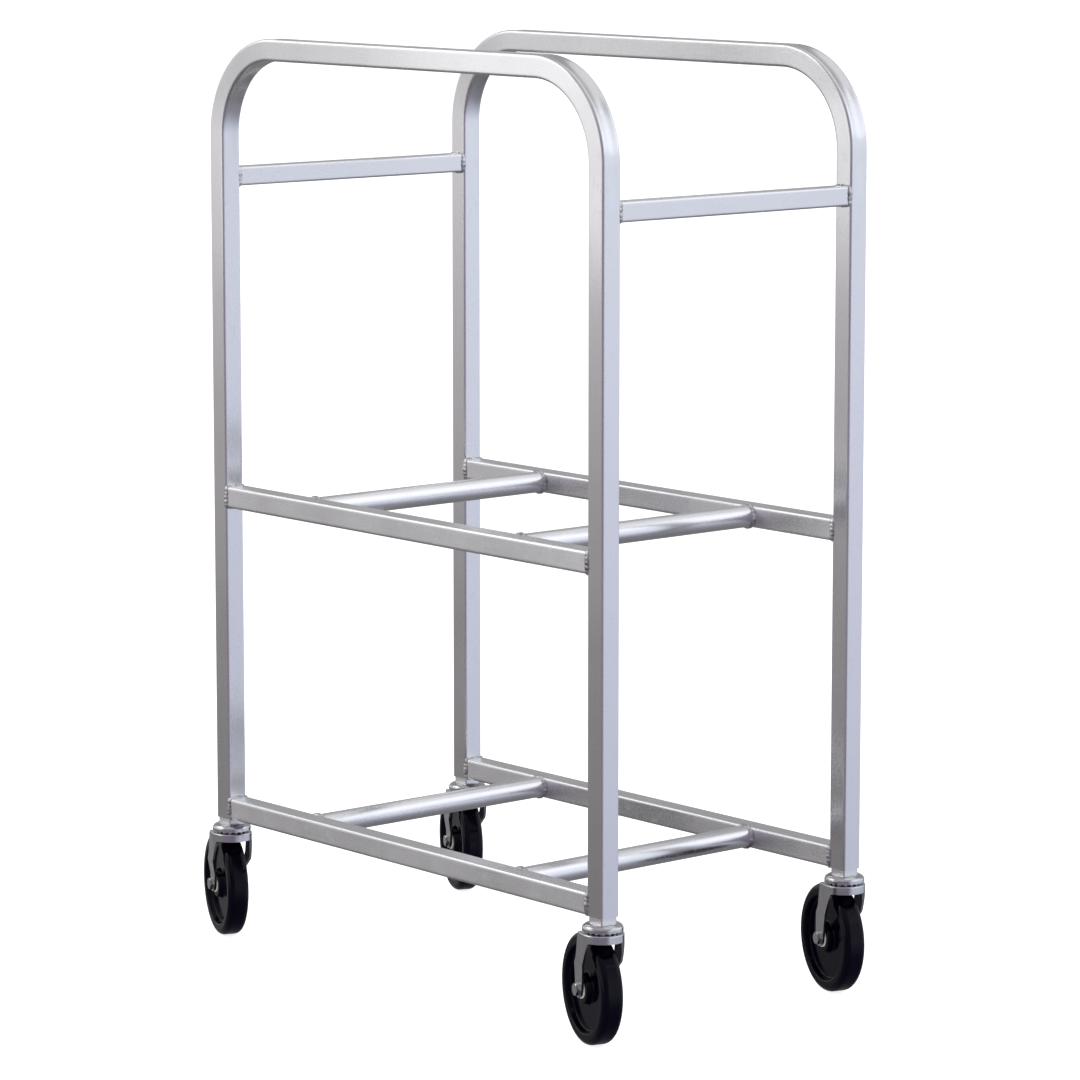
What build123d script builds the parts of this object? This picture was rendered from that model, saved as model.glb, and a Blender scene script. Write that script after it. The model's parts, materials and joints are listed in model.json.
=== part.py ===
from build123d import *
import os
from math import pi

# Two-tier tote cart: two bent square-tube hoops joined by rails, round cross tubes and push bars,
# on four swivel stem casters.  Millimetres.  +X points to the front end, +Y to the left hoop,
# +Z up.  The floor is Z = 0.  While the cart is laid out, X = Y = 0 is the middle of the frame;
# the last step moves everything so that X = Y = 0 is the middle of the whole cart's footprint.

# ---- frame, outside to outside -------------------------------------------------------------
FRAME_LENGTH = 698.5           # over the two legs of one hoop, along X
FRAME_WIDTH = 390.5            # over the two hoops, along Y
HOOP_HEIGHT = 928.5            # leg end to the top of the hoop
TIER_SPACING = 375.3           # lower to middle rail, centre to centre
PUSH_BAR_DROP = 163.6          # hoop top down to the push bar's centre line
CROSS_TUBE_INSET = 165.0       # leg's outer face to the cross tube's centre line
LOWER_RAIL_RISE = 0.0          # leg end up to the lower rail's underside

# ---- tube stock ----------------------------------------------------------------------------
TUBE = 25.4                    # square tube of the hoops and rails
TUBE_WALL = 1.65
TUBE_CORNER = 3.2              # outer corner radius
BEND_RADIUS = 101.6            # hoop bend, to the tube's centre line
PUSH_BAR = 22.2                # smaller square tube of the push bars
PUSH_BAR_WALL = 1.65
PUSH_BAR_CORNER = 2.6
CROSS_TUBE = 25.4              # round tube outside diameter
CROSS_TUBE_WALL = 2.1

# ---- welds ---------------------------------------------------------------------------------
WELD_HEIGHT = 1.7              # how far a bead stands proud of the tube it runs round
WELD_RUN = 4.5                 # along the welded-on tube
WELD_LAP = 3.0                 # over the tube it is welded to
WELD_ROUND = 1.1               # rounding of the bead's outer edges

# ---- leg plug and stem ---------------------------------------------------------------------
PLUG_CLEARANCE = 0.05          # all round, plug in leg
PLUG_NECK = 6.5                # plug length showing under the leg
PLUG_INSERT = 45.0             # plug length inside the leg
STEM_DIAMETER = 11.0
STEM_CLEARANCE = 0.05          # radial, stem in plug and in the fixed races
STEM_INSERT = 38.0             # stem length above the leg end
STEM_HEAD_DIAMETER = 16.0      # peened head under the lower race
STEM_HEAD_HEIGHT = 1.4

# ---- caster: swivel bearing ----------------------------------------------------------------
UPPER_RACE_DIAMETER = 45.6
UPPER_RACE_HEIGHT = 8.5
UPPER_RACE_RIM = 2.6           # straight edge of the domed race
RACE_GAP = 2.6                 # fork crown to upper race
UPPER_BALL = 4.76
UPPER_BALL_CIRCLE = 34.0       # diameter of the circle through the ball centres
LOWER_RACE_DIAMETER = 23.0
LOWER_RACE_HEIGHT = 2.0
LOWER_RACE_GAP = 1.6           # lower race to the crown's underside
LOWER_BALL = 3.18
LOWER_BALL_CIRCLE = 17.6
BALL_PITCH = 1.35              # spacing of the balls, in ball diameters
SEAT_CLEARANCE = 0.05          # ball to the groove it rides in on the fork
RACE_CLEARANCE = 0.30          # ball to the groove of the fixed races
KINGPIN_CLEARANCE = 0.60       # radial, stem in the fork crown

# ---- caster: fork --------------------------------------------------------------------------
TRAIL = 29.5                   # swivel axis to wheel axle
FORK_PLATE = 2.5
FORK_WIDTH = 47.8              # over the two plates at the crown, and the crown's diameter
FORK_FOOT_WIDTH = 34.0         # over the two plates at the axle
NECK_TOP = 33.0                # the plates step inwards between these heights above the axle
NECK_FOOT = 12.0
CROWN_CLEARANCE = 4.3          # wheel top to the crown's underside
COLLAR_DEPTH = 9.2             # front of the crown, turned down
AXLE_BOSS_RADIUS = 9.5         # rounded end of a fork plate, round the axle
FORK_EDGE_ROUND = 1.6

# ---- caster: wheel and axle ----------------------------------------------------------------
WHEEL_DIAMETER = 125.0
TREAD_WIDTH = 25.4
TREAD_ROUND = 7.0
RIM_DEPTH = 15.0               # tread to the recess in the wheel's side
WEB_THICKNESS = 11.0
HUB_DIAMETER = 36.0
HUB_DRAFT = 2.0                # the hub narrows by this much towards its face
WHEEL_ROUND = 2.0
BUSHING_DIAMETER = 16.0
BUSHING_LENGTH = 11.0
BUSHING_FLANGE = 1.2
BUSHING_FLANGE_DIAMETER = 21.0
BUSHING_CLEARANCE = 0.05       # radial, bushing on the axle sleeve
SIDE_CLEARANCE = 0.3           # bushing flange to fork plate
SLEEVE_DIAMETER = 11.0
AXLE_DIAMETER = 8.0
AXLE_CLEARANCE = 0.10          # radial, axle bolt in fork plates and sleeve
AXLE_TIP = 2.0                 # thread past the nut
HEX_ACROSS_FLATS = 13.0
BOLT_HEAD_HEIGHT = 4.5
NUT_HEIGHT = 6.5
HEX_BEVEL = 0.8

# ---- how each caster is turned at rest: the way its wheel trails, degrees from +X ------------
CASTER_YAW = {
    "front_right": 161.5,
    "front_left": 162.0,
    "rear_right": 158.5,
    "rear_left": 156.0,
}

# ---- heights that follow ---------------------------------------------------------------------
wheel_radius = WHEEL_DIAMETER / 2
crown_underside = WHEEL_DIAMETER + CROWN_CLEARANCE
crown_top = crown_underside + FORK_PLATE
upper_race_base = crown_top + RACE_GAP
upper_race_top = upper_race_base + UPPER_RACE_HEIGHT
leg_end = upper_race_top + PLUG_NECK
hoop_top = leg_end + HOOP_HEIGHT
lower_tier = leg_end + LOWER_RAIL_RISE + TUBE / 2
middle_tier = lower_tier + TIER_SPACING
push_bar_height = hoop_top - PUSH_BAR_DROP
lower_race_top = crown_underside - LOWER_RACE_GAP
lower_race_base = lower_race_top - LOWER_RACE_HEIGHT

# ---- places that follow, measured from the middle of the frame --------------------------------
leg_x = FRAME_LENGTH / 2 - TUBE / 2
leg_y = FRAME_WIDTH / 2 - TUBE / 2
cross_tube_x = FRAME_LENGTH / 2 - CROSS_TUBE_INSET
rail_length = FRAME_LENGTH - 2 * TUBE
bar_length = FRAME_WIDTH - 2 * TUBE
bore = TUBE - 2 * TUBE_WALL

ENDS = {"front": 1, "rear": -1}
SIDES = {"left": 1, "right": -1}
TIERS = {"middle": middle_tier, "lower": lower_tier}

BOTTOM = (Align.CENTER, Align.CENTER, Align.MIN)
ALONG_X = Rotation(0, 90, 0)
ALONG_Y = Rotation(-90, 0, 0)


def rounded_square(size, corner):
    return RectangleRounded(size, size, corner)


def square_section(size, corner, wall):
    """Outline of a square tube, with the bore's corners following the outer ones."""
    hole = rounded_square(size - 2 * wall, max(corner - wall, corner / 4))
    return rounded_square(size, corner) - hole


def bar(section, length):
    """A length of stock standing on Z, centred on the origin."""
    return extrude(section, amount=length / 2, both=True)


def solids_of(shape):
    return list(shape.solids())


# ---- frame -----------------------------------------------------------------------------------
def hoop(side):
    """One inverted U: two legs, two bends and the top run, from a single tube."""
    top = hoop_top - TUBE / 2
    corners = [(-leg_x, leg_end), (-leg_x, top), (leg_x, top), (leg_x, leg_end)]
    path = FilletPolyline(*[(x, side * leg_y, z) for x, z in corners], radius=BEND_RADIUS)
    start = Plane(origin=path @ 0, x_dir=(1, 0, 0), z_dir=path % 0)
    return sweep(start * square_section(TUBE, TUBE_CORNER, TUBE_WALL), path=path)


def rail(side, height):
    tube = bar(square_section(TUBE, TUBE_CORNER, TUBE_WALL), rail_length)
    return Pos(0, side * leg_y, height) * ALONG_X * tube


def cross_tube(end, height):
    section = Circle(CROSS_TUBE / 2) - Circle(CROSS_TUBE / 2 - CROSS_TUBE_WALL)
    return Pos(end * cross_tube_x, 0, height) * ALONG_Y * bar(section, bar_length)


def push_bar(end):
    tube = bar(square_section(PUSH_BAR, PUSH_BAR_CORNER, PUSH_BAR_WALL), bar_length)
    return Pos(end * leg_x, 0, push_bar_height) * ALONG_Y * tube


# ---- welds -----------------------------------------------------------------------------------
def bead(outer, inner):
    """A closed bead round a tube that stands on Z = 0: it laps below Z = 0 and runs up the tube."""
    ring = extrude(outer, amount=WELD_LAP + WELD_RUN)
    rims = ring.edges().group_by(Axis.Z)
    ring = fillet(rims[0] + rims[-1], WELD_ROUND)
    return Pos(0, 0, -WELD_LAP) * (ring - extrude(inner, amount=WELD_LAP + WELD_RUN))


def square_bead(size, corner):
    outer = rounded_square(size + 2 * WELD_HEIGHT, corner + WELD_HEIGHT)
    return bead(outer, rounded_square(size, corner))


def round_bead(diameter):
    return bead(Circle(diameter / 2 + WELD_HEIGHT), Circle(diameter / 2))


def leg_envelope(end, side):
    """The leg as a solid bar, with the plug's neck under it, so that no bead enters either."""
    block = extrude(rounded_square(TUBE, TUBE_CORNER), amount=hoop_top - upper_race_top)
    return Pos(end * leg_x, side * leg_y, upper_race_top) * block


def rail_envelope(side, height):
    return Pos(0, side * leg_y, height) * ALONG_X * bar(rounded_square(TUBE, TUBE_CORNER), rail_length)


def rail_welds():
    beads = []
    for end in ENDS.values():
        for side in SIDES.values():
            for height in TIERS.values():
                face = Pos(end * (leg_x - TUBE / 2), side * leg_y, height) * Rotation(0, -90 * end, 0)
                shape = face * square_bead(TUBE, TUBE_CORNER) - leg_envelope(end, side)
                beads += solids_of(shape)
    return Compound(beads)


def cross_tube_welds():
    beads = []
    for end in ENDS.values():
        for side in SIDES.values():
            for height in TIERS.values():
                face = Pos(end * cross_tube_x, side * (leg_y - TUBE / 2), height) * Rotation(90 * side, 0, 0)
                shape = face * round_bead(CROSS_TUBE) - rail_envelope(side, height)
                beads += solids_of(shape)
    return Compound(beads)


def push_bar_welds():
    beads = []
    for end in ENDS.values():
        for side in SIDES.values():
            face = Pos(end * leg_x, side * (leg_y - TUBE / 2), push_bar_height) * Rotation(90 * side, 0, 0)
            shape = face * square_bead(PUSH_BAR, PUSH_BAR_CORNER) - leg_envelope(end, side)
            beads += solids_of(shape)
    return Compound(beads)


# ---- caster: each piece stands about the swivel axis, with the wheel trailing towards +X --------
def leg_plug():
    """Square insert in the leg's end, with a blind bore for the stem."""
    size = bore - 2 * PLUG_CLEARANCE
    corner = TUBE_CORNER - TUBE_WALL + PLUG_CLEARANCE
    block = extrude(rounded_square(size, corner), amount=PLUG_NECK + PLUG_INSERT)
    hole = Cylinder(STEM_DIAMETER / 2 + STEM_CLEARANCE, PLUG_NECK + STEM_INSERT, align=BOTTOM)
    return Pos(0, 0, upper_race_top) * (block - hole)


def stem():
    """Fixed kingpin: peened head, shank through the bearing and up into the leg plug."""
    head_base = lower_race_base - STEM_HEAD_HEIGHT
    shank = Cylinder(STEM_DIAMETER / 2, leg_end + STEM_INSERT - head_base, align=BOTTOM)
    head = Cylinder(STEM_HEAD_DIAMETER / 2, STEM_HEAD_HEIGHT, align=BOTTOM)
    head = fillet(head.edges().group_by(Axis.Z)[0], STEM_HEAD_HEIGHT / 2)
    return Pos(0, 0, head_base) * (head + shank)


def ball_groove(circle, ball, clearance, height):
    return Pos(0, 0, height) * Torus(circle / 2, ball / 2 + clearance)


upper_ball_height = crown_top + RACE_GAP / 2
lower_ball_height = crown_underside - LOWER_RACE_GAP / 2


def upper_race():
    """Domed cap over the swivel bearing, fixed on the stem."""
    radius = UPPER_RACE_DIAMETER / 2
    flat = bore / 2 + 1.5
    hole = STEM_DIAMETER / 2 + STEM_CLEARANCE
    with BuildPart() as cap:
        with BuildSketch(Plane.XZ):
            with BuildLine():
                Polyline((hole, UPPER_RACE_HEIGHT), (hole, 0), (radius, 0), (radius, UPPER_RACE_RIM))
                EllipticalCenterArc(
                    center=(flat, UPPER_RACE_RIM),
                    x_radius=radius - flat,
                    y_radius=UPPER_RACE_HEIGHT - UPPER_RACE_RIM,
                    start_angle=0,
                    arc_size=90,
                )
                Line((flat, UPPER_RACE_HEIGHT), (hole, UPPER_RACE_HEIGHT))
            make_face()
        revolve(axis=Axis.Z)
    groove = ball_groove(UPPER_BALL_CIRCLE, UPPER_BALL, RACE_CLEARANCE, upper_ball_height)
    return Pos(0, 0, upper_race_base) * cap.part - groove


def lower_race():
    """Washer under the fork crown, held by the stem's head."""
    washer = Cylinder(LOWER_RACE_DIAMETER / 2, LOWER_RACE_HEIGHT, align=BOTTOM)
    washer -= Cylinder(STEM_DIAMETER / 2 + STEM_CLEARANCE, LOWER_RACE_HEIGHT, align=BOTTOM)
    groove = ball_groove(LOWER_BALL_CIRCLE, LOWER_BALL, RACE_CLEARANCE, lower_ball_height)
    return Pos(0, 0, lower_race_base) * washer - groove


def ball_ring(circle, ball, height):
    count = int(pi * circle / (ball * BALL_PITCH))
    return [Pos(0, 0, height) * loc * Sphere(ball / 2) for loc in PolarLocations(circle / 2, count)]


def balls():
    upper = ball_ring(UPPER_BALL_CIRCLE, UPPER_BALL, upper_ball_height)
    lower = ball_ring(LOWER_BALL_CIRCLE, LOWER_BALL, lower_ball_height)
    return Compound([s for ball in upper + lower for s in solids_of(ball)])


fork_foot = wheel_radius - AXLE_BOSS_RADIUS
fork_reach = TRAIL + AXLE_BOSS_RADIUS + FORK_PLATE


def fork_envelope(inset):
    """The fork's outer form moved in by inset: a round front, and sides that neck in to the axle."""
    half, foot_half, top = FORK_WIDTH / 2 - inset, FORK_FOOT_WIDTH / 2 - inset, crown_top - inset
    neck_top, neck_foot = wheel_radius + NECK_TOP, wheel_radius + NECK_FOOT
    right = [(foot_half, fork_foot), (foot_half, neck_foot), (half, neck_top), (half, top)]
    left = [(-y, z) for y, z in reversed(right)]
    section = make_face(Polyline(*right, *left, close=True))
    sides = extrude(Plane.YZ * section, amount=fork_reach)
    front = Pos(0, 0, neck_top) * Cylinder(half, top - neck_top, align=BOTTOM)
    return front + sides


def fork():
    """Pressed fork: a round crown under all the balls, turned down in front, and two plates to the axle."""
    half = FORK_WIDTH / 2
    collar_base = crown_top - COLLAR_DEPTH
    back = TRAIL + 0.9 * AXLE_BOSS_RADIUS
    outline = [
        (-half - 1, crown_top + 1),
        (0.6 * half, crown_top + 1),
        (0.6 * half, crown_top),
        (0.8 * half, wheel_radius + 1.2 * NECK_TOP),
        (back, wheel_radius + NECK_FOOT),
        (back, wheel_radius),
        (TRAIL - AXLE_BOSS_RADIUS, wheel_radius),
        (TRAIL - 1.15 * AXLE_BOSS_RADIUS, wheel_radius + NECK_FOOT),
        (0.05 * half, wheel_radius + NECK_TOP),
        (-0.4 * half, collar_base),
        (-half - 1, collar_base),
    ]
    plate = make_face(Polyline(*outline, close=True))
    for corner, radius in ((3, 30), (7, 18), (8, 30), (9, 5)):
        place = (outline[corner][0], outline[corner][1], 0)
        plate = fillet(plate.vertices().sort_by_distance(place)[0], radius)
    plate = plate + Pos(TRAIL, wheel_radius) * Circle(AXLE_BOSS_RADIUS)
    side = extrude(Plane.XZ * plate, amount=half + 1, both=True)

    body = (fork_envelope(0) - fork_envelope(FORK_PLATE)) & side
    body += Pos(0, 0, crown_underside) * Cylinder(half, FORK_PLATE, align=BOTTOM)
    body -= Cylinder(STEM_DIAMETER / 2 + KINGPIN_CLEARANCE, 2 * crown_top)
    axle_hole = Cylinder(AXLE_DIAMETER / 2 + AXLE_CLEARANCE, 2 * FORK_WIDTH)
    body -= Pos(TRAIL, 0, wheel_radius) * ALONG_Y * axle_hole
    rim = [e for e in body.edges().group_by(Axis.Z)[-1] if e.length > 1.2 * FORK_WIDTH]
    body = fillet(rim, FORK_EDGE_ROUND)
    body -= ball_groove(UPPER_BALL_CIRCLE, UPPER_BALL, SEAT_CLEARANCE, upper_ball_height)
    body -= ball_groove(LOWER_BALL_CIRCLE, LOWER_BALL, SEAT_CLEARANCE, lower_ball_height)
    return body


def on_axle(shape):
    """Turns a piece made along Z about the origin onto the wheel's axle."""
    return Pos(TRAIL, 0, wheel_radius) * ALONG_Y * shape


fork_gap = FORK_FOOT_WIDTH - 2 * FORK_PLATE
hub_width = fork_gap - 2 * (SIDE_CLEARANCE + BUSHING_FLANGE)


def wheel():
    """Solid wheel: rounded tread, recessed sides and a hub that stands proud of them."""
    hub = HUB_DIAMETER / 2
    recess = wheel_radius - RIM_DEPTH
    half_profile = [
        (BUSHING_DIAMETER / 2, hub_width / 2),
        (hub - HUB_DRAFT, hub_width / 2),
        (hub, WEB_THICKNESS / 2),
        (recess, WEB_THICKNESS / 2),
        (recess + HUB_DRAFT, TREAD_WIDTH / 2),
        (wheel_radius, TREAD_WIDTH / 2),
    ]
    mirrored = [(r, -a) for r, a in reversed(half_profile)]
    face = make_face(Polyline(*half_profile, *mirrored, close=True))
    tread = [v for v in face.vertices() if v.X > wheel_radius - 0.1]
    face = fillet(tread, TREAD_ROUND)
    inner = [v for v in face.vertices() if hub - HUB_DRAFT - 0.1 < v.X < recess + HUB_DRAFT + 0.1]
    face = fillet(inner, WHEEL_ROUND)
    return on_axle(revolve(Plane.XZ * face, axis=Axis.Z))


def bushings():
    """Two flanged bushings, one pressed into each end of the hub."""
    pair = []
    for turn in (0, 180):
        barrel = Cylinder(BUSHING_DIAMETER / 2, BUSHING_LENGTH, align=BOTTOM)
        flange = Cylinder(BUSHING_FLANGE_DIAMETER / 2, BUSHING_FLANGE, align=BOTTOM)
        piece = barrel + Pos(0, 0, BUSHING_LENGTH) * flange
        piece -= Cylinder(SLEEVE_DIAMETER / 2 + BUSHING_CLEARANCE, 3 * BUSHING_LENGTH)
        piece = Rotation(turn, 0, 0) * Pos(0, 0, hub_width / 2 - BUSHING_LENGTH) * piece
        pair += solids_of(on_axle(piece))
    return Compound(pair)


def axle_sleeve():
    """Tube clamped between the fork plates, on which the bushings turn."""
    tube = Circle(SLEEVE_DIAMETER / 2) - Circle(AXLE_DIAMETER / 2 + AXLE_CLEARANCE)
    return on_axle(bar(tube, fork_gap))


def hexagon(height):
    """Hexagonal prism on Z = 0 with its outer corners turned off."""
    prism = extrude(RegularPolygon(HEX_ACROSS_FLATS / 2, 6, major_radius=False), amount=height)
    cone = Cylinder(HEX_ACROSS_FLATS / 2 + HEX_BEVEL, height, align=BOTTOM)
    return prism & chamfer(cone.edges().group_by(Axis.Z)[-1], HEX_BEVEL)


def axle_bolt():
    half = FORK_FOOT_WIDTH / 2
    shank = Cylinder(AXLE_DIAMETER / 2, FORK_FOOT_WIDTH + NUT_HEIGHT + AXLE_TIP, align=BOTTOM)
    shank = chamfer(shank.edges().group_by(Axis.Z)[0], HEX_BEVEL)
    shank = Pos(0, 0, -half - NUT_HEIGHT - AXLE_TIP) * shank
    return on_axle(shank + Pos(0, 0, half) * hexagon(BOLT_HEAD_HEIGHT))


def axle_nut():
    nut = hexagon(NUT_HEIGHT) - Cylinder(AXLE_DIAMETER / 2 + AXLE_CLEARANCE, 3 * NUT_HEIGHT)
    return on_axle(Rotation(180, 0, 0) * Pos(0, 0, FORK_FOOT_WIDTH / 2) * nut)


# ---- assembly -----------------------------------------------------------------------------------
def build_frame():
    nodes = {}
    for side_name, side in SIDES.items():
        nodes[f"{side_name}_hoop"] = hoop(side)
        for tier_name, height in TIERS.items():
            nodes[f"{side_name}_{tier_name}_rail"] = rail(side, height)
    for end_name, end in ENDS.items():
        nodes[f"{end_name}_push_bar"] = push_bar(end)
        for tier_name, height in TIERS.items():
            nodes[f"{end_name}_{tier_name}_cross_tube"] = cross_tube(end, height)
    nodes["rail_welds"] = rail_welds()
    nodes["cross_tube_welds"] = cross_tube_welds()
    nodes["push_bar_welds"] = push_bar_welds()
    return nodes


CASTER_PIECES = {
    "upper_race": upper_race,
    "lower_race": lower_race,
    "stem": stem,
    "balls": balls,
    "fork": fork,
    "wheel": wheel,
    "bushings": bushings,
    "axle_sleeve": axle_sleeve,
    "axle_bolt": axle_bolt,
    "axle_nut": axle_nut,
}


def build_casters():
    nodes = {}
    pieces = {name: make() for name, make in CASTER_PIECES.items()}
    plug = leg_plug()
    for end_name, end in ENDS.items():
        for side_name, side in SIDES.items():
            corner = f"{end_name}_{side_name}"
            leg = Pos(end * leg_x, side * leg_y, 0)
            turned = leg * Rotation(0, 0, CASTER_YAW[corner])
            nodes[f"{corner}_leg_plug"] = leg * plug
            for name, piece in pieces.items():
                nodes[f"{corner}_{name}"] = turned * piece
    return nodes


cart = {**build_frame(), **build_casters()}
box = Compound([s for shape in cart.values() for s in solids_of(shape)]).bounding_box()
to_origin = Pos(-box.center().X, -box.center().Y, -box.min.Z)

os.makedirs("parts", exist_ok=True)
for node, shape in cart.items():
    export_step(to_origin * Compound(solids_of(shape)), f"parts/{node}.step")
print("nodes", len(cart), "box", box.size, "moved by", to_origin.position)
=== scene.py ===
import json
import math

import bpy
from mathutils import Euler, Matrix, Vector, noise


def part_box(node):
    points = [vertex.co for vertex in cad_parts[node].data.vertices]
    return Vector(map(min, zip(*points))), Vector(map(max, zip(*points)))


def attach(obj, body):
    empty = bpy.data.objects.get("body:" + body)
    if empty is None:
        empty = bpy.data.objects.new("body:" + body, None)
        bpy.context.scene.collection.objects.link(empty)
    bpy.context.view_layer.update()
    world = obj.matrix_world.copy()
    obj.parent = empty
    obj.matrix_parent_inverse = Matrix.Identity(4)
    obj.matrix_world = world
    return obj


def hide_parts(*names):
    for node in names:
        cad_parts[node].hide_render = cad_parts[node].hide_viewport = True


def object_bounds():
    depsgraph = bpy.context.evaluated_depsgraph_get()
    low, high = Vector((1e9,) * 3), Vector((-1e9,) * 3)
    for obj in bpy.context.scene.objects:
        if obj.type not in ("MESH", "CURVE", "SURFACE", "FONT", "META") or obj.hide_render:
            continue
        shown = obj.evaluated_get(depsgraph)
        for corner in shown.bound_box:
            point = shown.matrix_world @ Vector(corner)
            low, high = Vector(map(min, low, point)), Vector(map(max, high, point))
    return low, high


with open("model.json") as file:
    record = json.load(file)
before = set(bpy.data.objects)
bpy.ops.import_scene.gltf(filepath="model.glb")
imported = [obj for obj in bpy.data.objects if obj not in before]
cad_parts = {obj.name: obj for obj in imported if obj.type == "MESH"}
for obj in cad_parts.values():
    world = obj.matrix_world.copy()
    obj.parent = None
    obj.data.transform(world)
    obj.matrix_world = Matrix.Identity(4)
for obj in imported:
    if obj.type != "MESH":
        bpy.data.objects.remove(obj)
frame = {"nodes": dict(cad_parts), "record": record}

cad_low, cad_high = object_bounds()

# Metres throughout, in the CAD frame: +X to the cart's front end, +Y to the left hoop, +Z up.

# ---- sizes that the frame's boxes don't give --------------------------------------------------
TUBE_WALL = 0.00165
TUBE_CORNER = 0.0032           # outer corner radius of the square tube
PUSH_BAR_CORNER = 0.0026
CROSS_TUBE_WALL = 0.0021
BEND_RADIUS = 0.1016           # to the tube's centre line
BEND_DISH = 0.0017             # how far bending draws in the tube's outer face
BEND_SINK = 0.0008             # and its inner face
BEND_START_DISH = 0.55         # share of the full dish at a bend's two ends
DISH_FADE = 0.055              # length over which the dish fades out past the bend
WELD_RADIUS = 0.0051           # a bead is part of a round cord this thick ...
WELD_DEPTH = 0.0031            # ... whose centre lies this far under the tube's surface
WELD_CORNER = 0.0012           # corner radius of the line that centre follows on a square tube
WELD_PITCH = 0.0034            # from one ripple to the next
WELD_RIPPLE = 0.00042
RIPPLE_MIDDLE = 0.6            # share of a ripple's height that is at the cord's own radius
RIPPLE_LAG = 1.6               # how far a ripple's sides trail behind its crown, in radians
WELD_WANDER = 0.00040          # slow swelling and thinning of a bead
WANDER_SCALE = 260
WELD_LUMP = 0.00020            # small lumps on it
LUMP_SCALE = 900
LUMP_TURN = 0.35               # change in the lumps from one point of a section to the next
SEED_STEP = 7.3                # change in the noise from one bead to the next

# ---- mesh density -------------------------------------------------------------------------------
CORNER_STEPS = 8
FLAT_STEPS = 12
BEND_STEPS = 36
FADE_STEPS = 10
ROUND_STEPS = 96
STRAIGHT_STATIONS = 9
BEAD_STEPS = 20                # points round a bead's section
BEAD_SPACING = 0.0005          # between one section and the next
SHARP_ANGLE = math.radians(40)

TIERS = ("middle", "lower")


# ---- mesh helpers ------------------------------------------------------------------------------
def rounded_square(size, corner):
    """Points round a rounded square."""
    points = []
    flat = size / 2 - corner
    for quarter in range(4):
        turn = math.pi / 2 * quarter
        centre = Matrix.Rotation(turn, 2) @ Vector((flat, flat))
        for step in range(CORNER_STEPS + 1):
            angle = turn + math.pi / 2 * step / CORNER_STEPS
            points.append(centre + corner * Vector((math.cos(angle), math.sin(angle))))
    return points


def circle(radius):
    turns = [2 * math.pi * k / ROUND_STEPS for k in range(ROUND_STEPS)]
    return [Vector((radius * math.cos(turn), radius * math.sin(turn))) for turn in turns]


def lengths(points, closed=True):
    """Distance along a line of points, from 0 at the first, with the closing step last if closed."""
    out = [0.0]
    loop = list(points) + ([points[0]] if closed else [])
    for a, b in zip(loop, loop[1:]):
        out.append(out[-1] + (b - a).length)
    return out


class Grid:
    """Rings of points, the quads between them and the quads' UVs, in metres along and around."""

    def __init__(self):
        self.verts, self.faces, self.uvs = [], [], []

    def skin(self, rings, along, around, inward=False, closed=False):
        """Joins rings of equal size; closed joins the last ring to the first."""
        start = len(self.verts)
        count = len(rings[0])
        for ring in rings:
            self.verts.extend(ring)
        spans = len(rings) if closed else len(rings) - 1
        for i in range(spans):
            here = start + i * count
            there = start + (i + 1) % len(rings) * count
            for j in range(count):
                k = (j + 1) % count
                quad = [here + j, here + k, there + k, there + j]
                cell = [(along[i], around[j]), (along[i], around[j + 1]),
                        (along[i + 1], around[j + 1]), (along[i + 1], around[j])]
                if inward:
                    quad.reverse()
                    cell.reverse()
                self.faces.append(quad)
                self.uvs.extend(cell)
        return start

    def rim(self, outer, inner, count, flip):
        """The flat ring that closes a tube's end, from outer ring to inner ring."""
        for j in range(count):
            k = (j + 1) % count
            quad = [outer + j, inner + j, inner + k, outer + k]
            if flip:
                quad.reverse()
            self.faces.append(quad)
            self.uvs.extend([self.verts[i][0:2] for i in quad])


def make_piece(name, grid, slot_name, node):
    """A smooth-shaded mesh object that stands for one of the frame's nodes."""
    mesh = bpy.data.meshes.new(name)
    mesh.from_pydata([tuple(v) for v in grid.verts], [], grid.faces)
    layer = mesh.uv_layers.new(name="UVMap")
    for loop, uv in zip(layer.data, grid.uvs):
        loop.uv = uv
    mesh.update()
    mesh.shade_smooth()
    mesh.set_sharp_from_angle(angle=SHARP_ANGLE)
    piece = bpy.data.objects.new(name, mesh)
    bpy.context.scene.collection.objects.link(piece)
    mesh.materials.append(SLOT_MATERIALS[slot_name])
    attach(piece, "frame")
    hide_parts(node)


def tube_piece(name, frames, outer, inner, slot_name, node, shape=None):
    """A hollow tube along frames of (centre, p axis, q axis); shape may move a profile point."""
    centres = [f[0] for f in frames]
    along = lengths(centres, closed=False)
    grid = Grid()
    starts = []
    for profile, inward in ((outer, False), (inner, True)):
        rings = []
        for index, (centre, p_axis, q_axis) in enumerate(frames):
            points = profile if shape is None else [shape(index, p) for p in profile]
            rings.append([centre + p.x * p_axis + p.y * q_axis for p in points])
        starts.append(grid.skin(rings, along, lengths(profile), inward))
    count = len(outer)
    last = (len(frames) - 1) * count
    grid.rim(starts[0], starts[1], count, False)
    grid.rim(starts[0] + last, starts[1] + last, count, True)
    make_piece(name, grid, slot_name, node)


def straight_frames(low, high, axis, p_axis, q_axis):
    """Frames down the middle of a box along one axis, with a few stations between its ends."""
    middle = (low + high) / 2
    frames = []
    for k in range(STRAIGHT_STATIONS):
        centre = middle.copy()
        centre[axis] = low[axis] + (high[axis] - low[axis]) * k / (STRAIGHT_STATIONS - 1)
        frames.append((centre, p_axis, q_axis))
    return frames


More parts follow.
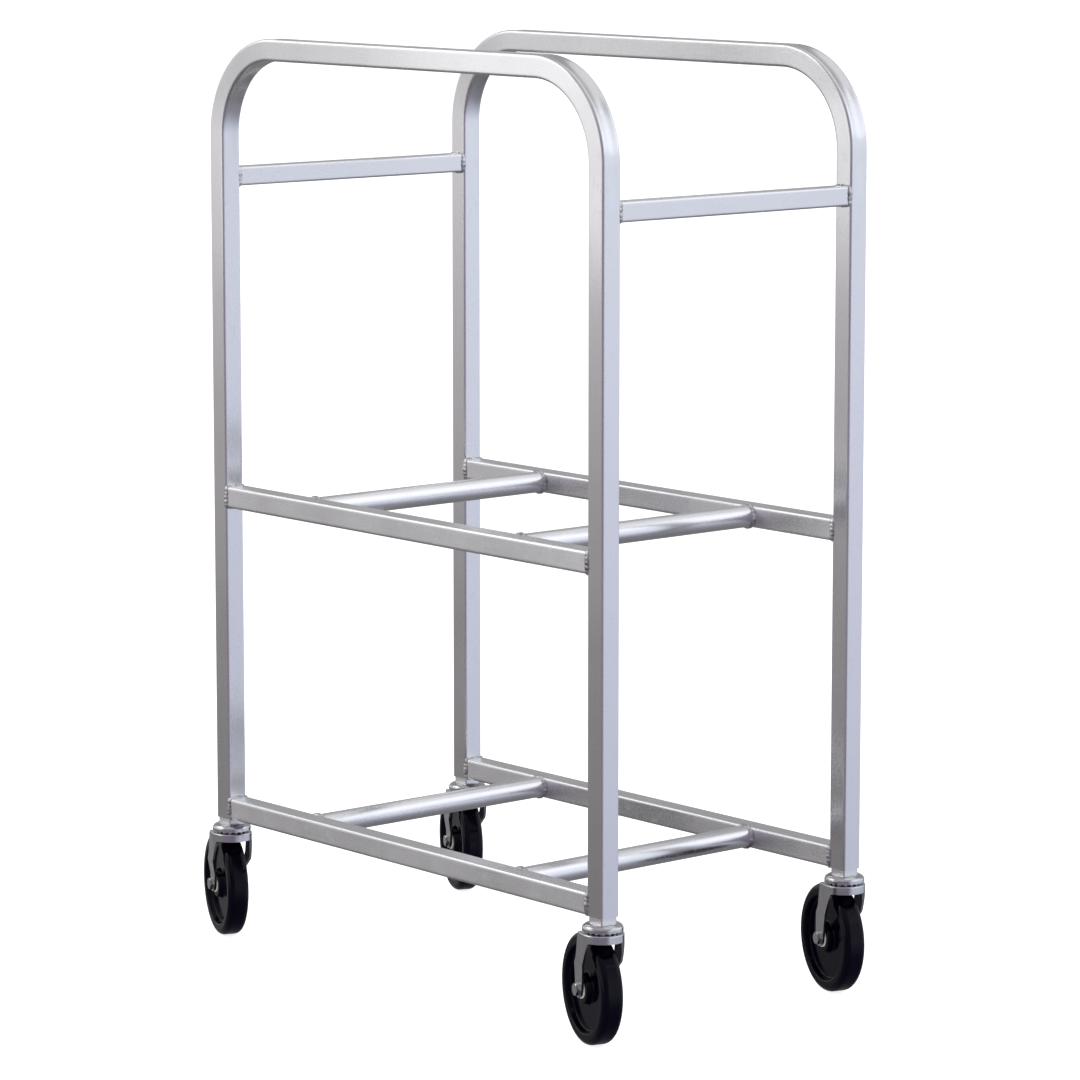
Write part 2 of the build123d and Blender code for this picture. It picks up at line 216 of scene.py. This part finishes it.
# ---- material helpers ---------------------------------------------------------------------------
class Nodes:
    """Short ways to add nodes to a material or to the world."""

    def __init__(self, tree):
        self.tree = tree

    def node(self, kind, **settings):
        made = self.tree.nodes.new(kind)
        for key, value in settings.items():
            setattr(made, key, value)
        return made

    def link(self, source, target):
        self.tree.links.new(source, target)

    def ramp(self, value, low, high, from_low=0.3, from_high=0.7, interpolation="LINEAR"):
        """Maps a value onto the range low to high."""
        made = self.node("ShaderNodeMapRange", interpolation_type=interpolation)
        made.inputs["From Min"].default_value = from_low
        made.inputs["From Max"].default_value = from_high
        made.inputs["To Min"].default_value = low
        made.inputs["To Max"].default_value = high
        self.link(value, made.inputs["Value"])
        return made.outputs["Result"]

    def mix(self, factor, first, second):
        """A colour between two, each a colour or a socket."""
        made = self.node("ShaderNodeMix", data_type="RGBA")
        self.link(factor, made.inputs["Factor"])
        for socket, value in ((made.inputs[6], first), (made.inputs[7], second)):
            if isinstance(value, tuple):
                socket.default_value = (*value, 1)
            else:
                self.link(value, socket)
        return made.outputs[2]


class Shader(Nodes):
    """A Principled material; a keyword sets the input of that name."""

    def __init__(self, name, colour, metallic, roughness, **sockets):
        self.material = bpy.data.materials.new(name)
        self.material.use_nodes = True
        super().__init__(self.material.node_tree)
        self.principled = self.tree.nodes["Principled BSDF"]
        self.principled.inputs["Base Color"].default_value = (*colour, 1)
        self.principled.inputs["Metallic"].default_value = metallic
        self.principled.inputs["Roughness"].default_value = roughness
        for socket, value in sockets.items():
            self.principled.inputs[socket.replace("_", " ")].default_value = value

    def noise(self, coordinates, scale, detail, roughness, stretch=(1, 1, 1)):
        """A noise value over coordinates stretched by the given factors."""
        mapping = self.node("ShaderNodeMapping")
        mapping.inputs["Scale"].default_value = stretch
        self.link(coordinates, mapping.inputs["Vector"])
        made = self.node("ShaderNodeTexNoise")
        made.inputs["Scale"].default_value = scale
        made.inputs["Detail"].default_value = detail
        made.inputs["Roughness"].default_value = roughness
        self.link(mapping.outputs["Vector"], made.inputs["Vector"])
        return made.outputs["Fac"]

    def calculate(self, operation, a, b):
        made = self.node("ShaderNodeMath", operation=operation)
        for socket, value in zip(made.inputs, (a, b)):
            if isinstance(value, float):
                socket.default_value = value
            else:
                self.link(value, socket)
        return made.outputs["Value"]

    def add(self, a, b):
        return self.calculate("ADD", a, b)

    def times(self, a, b):
        return self.calculate("MULTIPLY", a, b)

    def colour(self, source):
        self.link(source, self.principled.inputs["Base Color"])

    def roughness(self, source):
        self.link(source, self.principled.inputs["Roughness"])

    def bump(self, height, distance, strength):
        made = self.node("ShaderNodeBump")
        made.inputs["Strength"].default_value = strength
        made.inputs["Distance"].default_value = distance
        self.link(height, made.inputs["Height"])
        self.link(made.outputs["Normal"], self.principled.inputs["Normal"])

    def uv(self):
        return self.node("ShaderNodeTexCoord").outputs["UV"]

    def place(self):
        return self.node("ShaderNodeTexCoord").outputs["Object"]


def brushed_aluminium(name, light, dark, roughness, grain):
    """Drawn aluminium tube: fine lines along it, soft cloudy oxide and a few handling marks."""
    s = Shader(name, light, 1.0, roughness, Anisotropic=0.85, Anisotropic_Rotation=0.25)
    tangent = s.node("ShaderNodeTangent", direction_type="UV_MAP")
    s.link(tangent.outputs["Tangent"], s.principled.inputs["Tangent"])
    lines = s.noise(s.uv(), 60.0, 5.0, 0.6, stretch=(0.25, 26.0, 1.0))
    fine = s.noise(s.uv(), 60.0, 2.0, 0.5, stretch=(0.6, 90.0, 1.0))
    clouds = s.noise(s.place(), 11.0, 4.0, 0.55)
    marks = s.noise(s.place(), 75.0, 6.0, 0.7)
    tint = s.add(s.times(lines, 0.45), s.times(clouds, 0.55))
    s.colour(s.mix(s.ramp(tint, 0.0, 1.0, 0.35, 0.65), dark, light))
    rough = s.add(s.ramp(lines, roughness - 0.03, roughness + 0.03), s.ramp(clouds, -0.03, 0.04))
    s.roughness(s.add(rough, s.ramp(marks, 0.0, 0.07, 0.56, 0.72)))
    s.bump(s.add(s.times(fine, grain), lines), 0.00002, 0.12)
    return s.material


def weld_metal(name):
    """Bare weld, whose ripples are in its mesh: bright metal with soot-grey patches."""
    s = Shader(name, (0.62, 0.62, 0.63), 1.0, 0.38)
    soot = s.noise(s.place(), 420.0, 5.0, 0.65)
    patch = s.noise(s.place(), 90.0, 3.0, 0.55)
    both = s.add(s.times(soot, 0.5), s.times(patch, 0.5))
    s.colour(s.mix(s.ramp(both, 0.0, 1.0, 0.36, 0.58), (0.24, 0.23, 0.23), (0.90, 0.90, 0.91)))
    s.roughness(s.ramp(soot, 0.24, 0.55))
    s.bump(soot, 0.00012, 0.6)
    return s.material


def plated_steel(name, light, dark, roughness):
    """Bright plate over steel, with faint orange peel and dull patches."""
    s = Shader(name, light, 1.0, roughness)
    patch = s.noise(s.place(), 60.0, 4.0, 0.6)
    grit = s.noise(s.place(), 700.0, 3.0, 0.6)
    s.colour(s.mix(s.ramp(patch, 0.0, 1.0, 0.35, 0.65), dark, light))
    s.roughness(s.add(s.ramp(patch, roughness + 0.08, roughness - 0.02), s.ramp(grit, -0.03, 0.04)))
    s.bump(grit, 0.00003, 0.5)
    return s.material


def black_wheel(name):
    """Glossy moulded wheel: near black, with light scuffing and faint moulding haze."""
    s = Shader(name, (0.002, 0.002, 0.004), 0.0, 0.14, IOR=1.5, Specular_IOR_Level=0.15)
    haze = s.noise(s.place(), 38.0, 4.0, 0.6)
    scuff = s.noise(s.place(), 520.0, 5.0, 0.7)
    s.colour(s.mix(s.ramp(scuff, 0.0, 1.0, 0.55, 0.85), (0.0008, 0.0004, 0.0040), (0.006, 0.005, 0.010)))
    s.roughness(s.add(s.ramp(haze, 0.06, 0.13), s.ramp(scuff, 0.0, 0.10, 0.5, 0.8)))
    s.bump(haze, 0.0004, 0.25)
    return s.material


def nylon(name):
    """Natural moulded nylon, slightly speckled."""
    s = Shader(name, (0.70, 0.68, 0.60), 0.0, 0.42, IOR=1.53)
    speck = s.noise(s.place(), 300.0, 4.0, 0.6)
    s.colour(s.mix(speck, (0.60, 0.57, 0.49), (0.76, 0.74, 0.67)))
    s.bump(speck, 0.00004, 0.4)
    return s.material


SLOT_MATERIALS = {
    "square_tube_aluminium": brushed_aluminium(
        "brushed_square_tube", light=(0.87, 0.87, 0.88), dark=(0.80, 0.80, 0.81), roughness=0.27, grain=0.6),
    "round_tube_aluminium": brushed_aluminium(
        "bright_round_tube", light=(0.95, 0.95, 0.96), dark=(0.88, 0.88, 0.90), roughness=0.24, grain=0.3),
    "weld_metal": weld_metal("weld_bead"),
    "plated_steel": plated_steel(
        "zinc_plate", light=(0.72, 0.72, 0.74), dark=(0.60, 0.60, 0.61), roughness=0.16),
    "fastener_steel": plated_steel(
        "zinc_fastener", light=(0.66, 0.66, 0.66), dark=(0.50, 0.50, 0.49), roughness=0.26),
    "ball_steel": plated_steel(
        "bearing_steel", light=(0.62, 0.62, 0.63), dark=(0.55, 0.55, 0.56), roughness=0.08),
    "black_wheel": black_wheel("glossy_black_wheel"),
    "bushing_nylon": nylon("natural_nylon"),
}
for part in frame["record"]["subparts"]:
    shape_materials = frame["nodes"][part["node"]].data.materials
    shape_materials.clear()
    shape_materials.append(SLOT_MATERIALS[part["material_slot"]])


# ---- frame tubes --------------------------------------------------------------------------------
X, Y, Z = Vector((1, 0, 0)), Vector((0, 1, 0)), Vector((0, 0, 1))


def square_profiles(size, corner):
    """A square tube's outlines with extra points across each flat, so that it shades flat and can dish."""
    both = []
    for outline in (rounded_square(size, corner), rounded_square(size - 2 * TUBE_WALL, corner - TUBE_WALL)):
        dense = []
        for a, b in zip(outline, outline[1:] + outline[:1]):
            steps = FLAT_STEPS if (b - a).length > 2 * corner else 1
            dense.extend(a.lerp(b, k / steps) for k in range(steps))
        both.append(dense)
    return both


def smooth_step(value):
    value = min(max(value, 0.0), 1.0)
    return value * value * (3 - 2 * value)


def hoop_piece(side):
    """One bent hoop: its bends' outer faces are drawn in, as bending a square tube does."""
    node = f"{side}_hoop"
    low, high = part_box(node)
    size = high.y - low.y
    half = size / 2
    y = (low.y + high.y) / 2
    left, right, top = low.x + half, high.x - half, high.z - half
    leg = top - BEND_RADIUS - low.z
    run = right - left - 2 * BEND_RADIUS

    frames, bent = [], []

    def add(x, z, outward, dish):
        frames.append((Vector((x, y, z)), outward, Y))
        bent.append(dish)

    def stations(length, from_bend_start, from_bend_end):
        """Distances along a straight run, close together where a dish fades out."""
        marks = {0.0, length}
        for k in range(FADE_STEPS + 1):
            if from_bend_start:
                marks.add(min(length, DISH_FADE * k / FADE_STEPS))
            if from_bend_end:
                marks.add(max(0.0, length - DISH_FADE * k / FADE_STEPS))
        return sorted(marks)

    def fade(distance):
        return BEND_START_DISH * smooth_step(1 - distance / DISH_FADE)

    def bend_dish(t):
        return BEND_START_DISH + (1 - BEND_START_DISH) * smooth_step(min(t, 1 - t) * 4)

    def bend(centre_x, first_angle):
        """A quarter turn from first_angle down to a right angle less, round a centre under the top."""
        for k in range(1, BEND_STEPS):
            t = k / BEND_STEPS
            angle = first_angle - t * math.pi / 2
            out = Vector((math.cos(angle), 0, math.sin(angle)))
            add(centre_x + BEND_RADIUS * out.x, top - BEND_RADIUS * (1 - out.z), out, bend_dish(t))

    for s in stations(leg, False, True):
        add(left, low.z + s, -X, fade(leg - s))
    bend(left + BEND_RADIUS, math.pi)
    for s in stations(run, True, True):
        add(left + BEND_RADIUS + s, top, Z, max(fade(s), fade(run - s)))
    bend(right - BEND_RADIUS, math.pi / 2)
    for s in stations(leg, True, False):
        add(right, top - BEND_RADIUS - s, X, fade(s))

    flat = half - TUBE_CORNER

    def drawn_in(index, point):
        across = max(0.0, 1 - (point.y / flat) ** 2) ** 1.5 if abs(point.y) < flat else 0.0
        sink = BEND_DISH if point.x > 0 else -BEND_SINK
        return Vector((point.x - sink * bent[index] * across, point.y))

    outer, inner = square_profiles(size, TUBE_CORNER)
    tube_piece(f"{node}_tube", frames, outer, inner, "square_tube_aluminium", node, drawn_in)


def straight_square(node, axis, p_axis, q_axis, corner):
    low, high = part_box(node)
    outer, inner = square_profiles(high.z - low.z, corner)
    frames = straight_frames(low, high, axis, p_axis, q_axis)
    tube_piece(f"{node}_tube", frames, outer, inner, "square_tube_aluminium", node)


def cross_tube(node):
    low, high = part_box(node)
    radius = (high.z - low.z) / 2
    frames = straight_frames(low, high, 1, Z, X)
    tube_piece(f"{node}_round", frames, circle(radius), circle(radius - CROSS_TUBE_WALL),
               "round_tube_aluminium", node)


for side in ("left", "right"):
    hoop_piece(side)
    for tier in TIERS:
        straight_square(f"{side}_{tier}_rail", 0, Y, Z, TUBE_CORNER)
for end in ("front", "rear"):
    straight_square(f"{end}_push_bar", 1, Z, X, PUSH_BAR_CORNER)
    for tier in TIERS:
        cross_tube(f"{end}_{tier}_cross_tube")


# ---- welds ----------------------------------------------------------------------------------------
def bead_rings(centre_line, centre, normal, seed):
    """Rings of a rippled bead whose centre runs round a closed line of points in space."""
    travelled = lengths(centre_line)
    ripples = round(travelled[-1] / WELD_PITCH)
    rings = []
    for i, point in enumerate(centre_line):
        outward = (point - centre).normalized()
        turn = 2 * math.pi * ripples * travelled[i] / travelled[-1]
        ring = []
        for j in range(BEAD_STEPS):
            angle = 2 * math.pi * j / BEAD_STEPS
            lag = RIPPLE_LAG * (1 - math.cos(angle))
            ripple = abs(math.sin((turn - lag) / 2)) - RIPPLE_MIDDLE
            wander = noise.noise(point * WANDER_SCALE + Vector((seed, 0, 0)))
            lump = noise.noise(point * LUMP_SCALE + Vector((0, seed, j * LUMP_TURN)))
            radius = WELD_RADIUS + WELD_RIPPLE * ripple + WELD_WANDER * wander + WELD_LUMP * lump
            ring.append(point + radius * (math.cos(angle) * outward + math.sin(angle) * normal))
        rings.append(ring)
    return rings, travelled


def resample(points, spacing):
    """Evenly spaced points round a closed outline."""
    marks = lengths(points)
    total = marks[-1]
    count = round(total / spacing)
    loop = list(points) + [points[0]]
    out, segment = [], 0
    for k in range(count):
        target = total * k / count
        while marks[segment + 1] < target:
            segment += 1
        share = (target - marks[segment]) / (marks[segment + 1] - marks[segment])
        out.append(loop[segment].lerp(loop[segment + 1], share))
    return out


def beads(name, node, joints):
    """All the beads of one weld node; joints are (centre, normal, side axis, up axis, outline)."""
    grid = Grid()
    section_length = [2 * math.pi * WELD_RADIUS * j / BEAD_STEPS for j in range(BEAD_STEPS + 1)]
    for index, (centre, normal, side_axis, up_axis, outline) in enumerate(joints):
        spaced = resample(outline, BEAD_SPACING)
        line = [centre + p.x * side_axis + p.y * up_axis for p in spaced]
        rings, travelled = bead_rings(line, centre, normal, index * SEED_STEP)
        grid.skin(rings, travelled, section_length, closed=True)
    make_piece(name, grid, "weld_metal", node)


def outline_under(size):
    """The line that a bead's centre follows round a square tube."""
    return rounded_square(size - 2 * WELD_DEPTH, WELD_CORNER)


rail_joints, cross_joints, bar_joints = [], [], []
for side, inward in (("left", -Y), ("right", Y)):
    for tier in TIERS:
        low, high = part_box(f"{side}_{tier}_rail")
        middle = (low + high) / 2
        outline = outline_under(high.z - low.z)
        for x, normal in ((low.x, -X), (high.x, X)):
            rail_joints.append((Vector((x, middle.y, middle.z)), normal, Y, Z, outline))
for end in ("front", "rear"):
    for tier in TIERS:
        low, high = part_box(f"{end}_{tier}_cross_tube")
        middle = (low + high) / 2
        outline = circle((high.z - low.z) / 2 - WELD_DEPTH)
        for y, normal in ((low.y, -Y), (high.y, Y)):
            cross_joints.append((Vector((middle.x, y, middle.z)), normal, X, Z, outline))
    low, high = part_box(f"{end}_push_bar")
    middle = (low + high) / 2
    outline = outline_under(high.z - low.z)
    for y, normal in ((low.y, -Y), (high.y, Y)):
        bar_joints.append((Vector((middle.x, y, middle.z)), normal, X, Z, outline))
beads("rail_weld_beads", "rail_welds", rail_joints)
beads("cross_tube_weld_beads", "cross_tube_welds", cross_joints)
beads("push_bar_weld_beads", "push_bar_welds", bar_joints)


# ---- stage, light and camera ------------------------------------------------------------------------
FLOOR_HALF = 60.0
FLOOR_COLOUR = (0.90, 0.90, 0.90)
pale_floor = Shader("pale_floor", FLOOR_COLOUR, 0.0, 0.9, Emission_Color=(*FLOOR_COLOUR, 1),
                    Emission_Strength=0.95)
floor_mesh = bpy.data.meshes.new("floor")
corners = ((-1, -1), (1, -1), (1, 1), (-1, 1))
floor_points = [(x * FLOOR_HALF, y * FLOOR_HALF, cad_low.z) for x, y in corners]
floor_mesh.from_pydata(floor_points, [], [(0, 1, 2, 3)])
floor_mesh.materials.append(pale_floor.material)
floor = bpy.data.objects.new("floor", floor_mesh)
bpy.context.scene.collection.objects.link(floor)
floor.visible_glossy = False

CAMERA_AZIMUTH = 49.55
CAMERA_ELEVATION = 8.77
CAMERA_DISTANCE = 5.392
CAMERA_LENS = 154.8
AIM_OFFSET = Vector((-0.0163, 0.0286, -0.1135))    # from the middle of the two hoops


def direction(azimuth, elevation):
    """From the cart towards a place at that azimuth and elevation; azimuth 0 is -Y and 90 is +X."""
    a, e = math.radians(azimuth), math.radians(elevation)
    return Vector((math.sin(a) * math.cos(e), -math.cos(a) * math.cos(e), math.sin(e)))


hoop_corners = [*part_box("left_hoop"), *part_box("right_hoop")]
hoop_middle = sum(hoop_corners, Vector()) / len(hoop_corners)
camera_data = bpy.data.cameras.new("camera")
camera_data.lens = CAMERA_LENS
camera_data.clip_end = 4 * FLOOR_HALF
camera = bpy.data.objects.new("camera", camera_data)
camera.location = hoop_middle + AIM_OFFSET + CAMERA_DISTANCE * direction(CAMERA_AZIMUTH, CAMERA_ELEVATION)
camera.rotation_euler = Euler((math.radians(90 - CAMERA_ELEVATION), 0, math.radians(CAMERA_AZIMUTH)))
bpy.context.scene.collection.objects.link(camera)
bpy.context.scene.camera = camera


def softbox(name, azimuth, elevation, distance, width, height, power, colour=(1, 1, 1)):
    """A rectangular light that faces the cart."""
    data = bpy.data.lights.new(name, "AREA")
    data.shape = "RECTANGLE"
    data.size, data.size_y = width, height
    data.energy = power
    data.color = colour
    lamp = bpy.data.objects.new(name, data)
    away = direction(azimuth, elevation)
    lamp.location = hoop_middle + distance * away
    lamp.rotation_mode = "QUATERNION"
    lamp.rotation_quaternion = away.to_track_quat("Z", "Y")
    lamp.visible_camera = False
    bpy.context.scene.collection.objects.link(lamp)


softbox("left_panel", azimuth=-51, elevation=35, distance=3.6, width=3.0, height=2.0, power=22)
softbox("right_panel", azimuth=130, elevation=30, distance=3.4, width=3.0, height=2.0, power=7,
        colour=(0.90, 0.92, 1.0))
softbox("near_panel", azimuth=-30.7, elevation=13.9, distance=1.41, width=0.7, height=0.5, power=0.6)
softbox("top_panel", azimuth=170, elevation=66, distance=3.0, width=3.0, height=2.4, power=9)


# ---- world: a soft studio whose brightness depends on the direction looked in ---------------------
# Colour by elevation, in degrees, towards each side of the studio.
LEFT_WALL = [(-90, (0.12, 0.12, 0.12)), (-25, (0.17, 0.162, 0.165)), (-14, (0.20, 0.191, 0.195)),
             (-10, (0.25, 0.237, 0.243)), (-6, (0.50, 0.48, 0.49)), (-2, (0.90, 0.885, 0.90)),
             (12, (0.78, 0.78, 0.79)), (30, (0.48, 0.48, 0.48)), (90, (0.55, 0.55, 0.55))]
RIGHT_WALL = [(-90, (0.14, 0.14, 0.16)), (-30, (0.24, 0.24, 0.28)), (-16, (0.53, 0.55, 0.66)),
              (-8, (0.72, 0.75, 0.90)), (-3, (0.84, 0.89, 1.0)), (20, (0.86, 0.89, 0.96)),
              (45, (0.74, 0.75, 0.80)), (90, (0.55, 0.55, 0.60))]
FAR_WALL = [(-90, (0.12, 0.12, 0.12)), (-15, (0.26, 0.26, 0.27)), (5, (0.42, 0.42, 0.43)),
            (22, (0.34, 0.34, 0.35)), (50, (0.36, 0.36, 0.38)), (90, (0.5, 0.5, 0.52))]
NEAR_WALL = [(-90, (0.08, 0.08, 0.09)), (-10, (0.24, 0.21, 0.27)), (15, (0.22, 0.20, 0.26)),
             (55, (0.5, 0.5, 0.52)), (90, (0.55, 0.55, 0.57))]
LEFT_WALL_TURN = -100          # from the camera's azimuth to the wall's, in degrees
RIGHT_WALL_TURN = 81


def studio_world():
    world = bpy.data.worlds.new("studio")
    world.use_nodes = True
    nodes = Nodes(world.node_tree)
    looking = nodes.node("ShaderNodeTexCoord").outputs["Generated"]
    split = nodes.node("ShaderNodeSeparateXYZ")
    nodes.link(looking, split.inputs[0])
    height = nodes.ramp(split.outputs["Z"], 0.0, 1.0, -1.0, 1.0)

    def wall(stops):
        """The colour at the elevation looked in, from stops of (elevation, colour)."""
        made = nodes.node("ShaderNodeValToRGB")
        ramp = made.color_ramp
        while len(ramp.elements) < len(stops):
            ramp.elements.new(0.5)
        for element, (degrees, colour) in zip(ramp.elements, stops):
            element.position = 0.5 + 0.5 * math.sin(math.radians(degrees))
            element.color = (*colour, 1)
        nodes.link(height, made.inputs["Fac"])
        return made.outputs["Color"]

    def towards(azimuth, begin, full):
        """How far the direction looked in leans to an azimuth: 0 below begin and 1 above full."""
        dot = nodes.node("ShaderNodeVectorMath", operation="DOT_PRODUCT")
        dot.inputs[1].default_value = direction(azimuth, 0)
        nodes.link(looking, dot.inputs[0])
        return nodes.ramp(dot.outputs["Value"], 0.0, 1.0, begin, full, "SMOOTHSTEP")

    colour = nodes.mix(towards(CAMERA_AZIMUTH, -0.1, 0.5), wall(FAR_WALL), wall(NEAR_WALL))
    colour = nodes.mix(towards(CAMERA_AZIMUTH + LEFT_WALL_TURN, 0.55, 0.85), colour, wall(LEFT_WALL))
    colour = nodes.mix(towards(CAMERA_AZIMUTH + RIGHT_WALL_TURN, 0.45, 0.80), colour, wall(RIGHT_WALL))
    nodes.link(colour, world.node_tree.nodes["Background"].inputs["Color"])
    return world


bpy.context.scene.world = studio_world()
bpy.context.scene.view_settings.view_transform = "Standard"
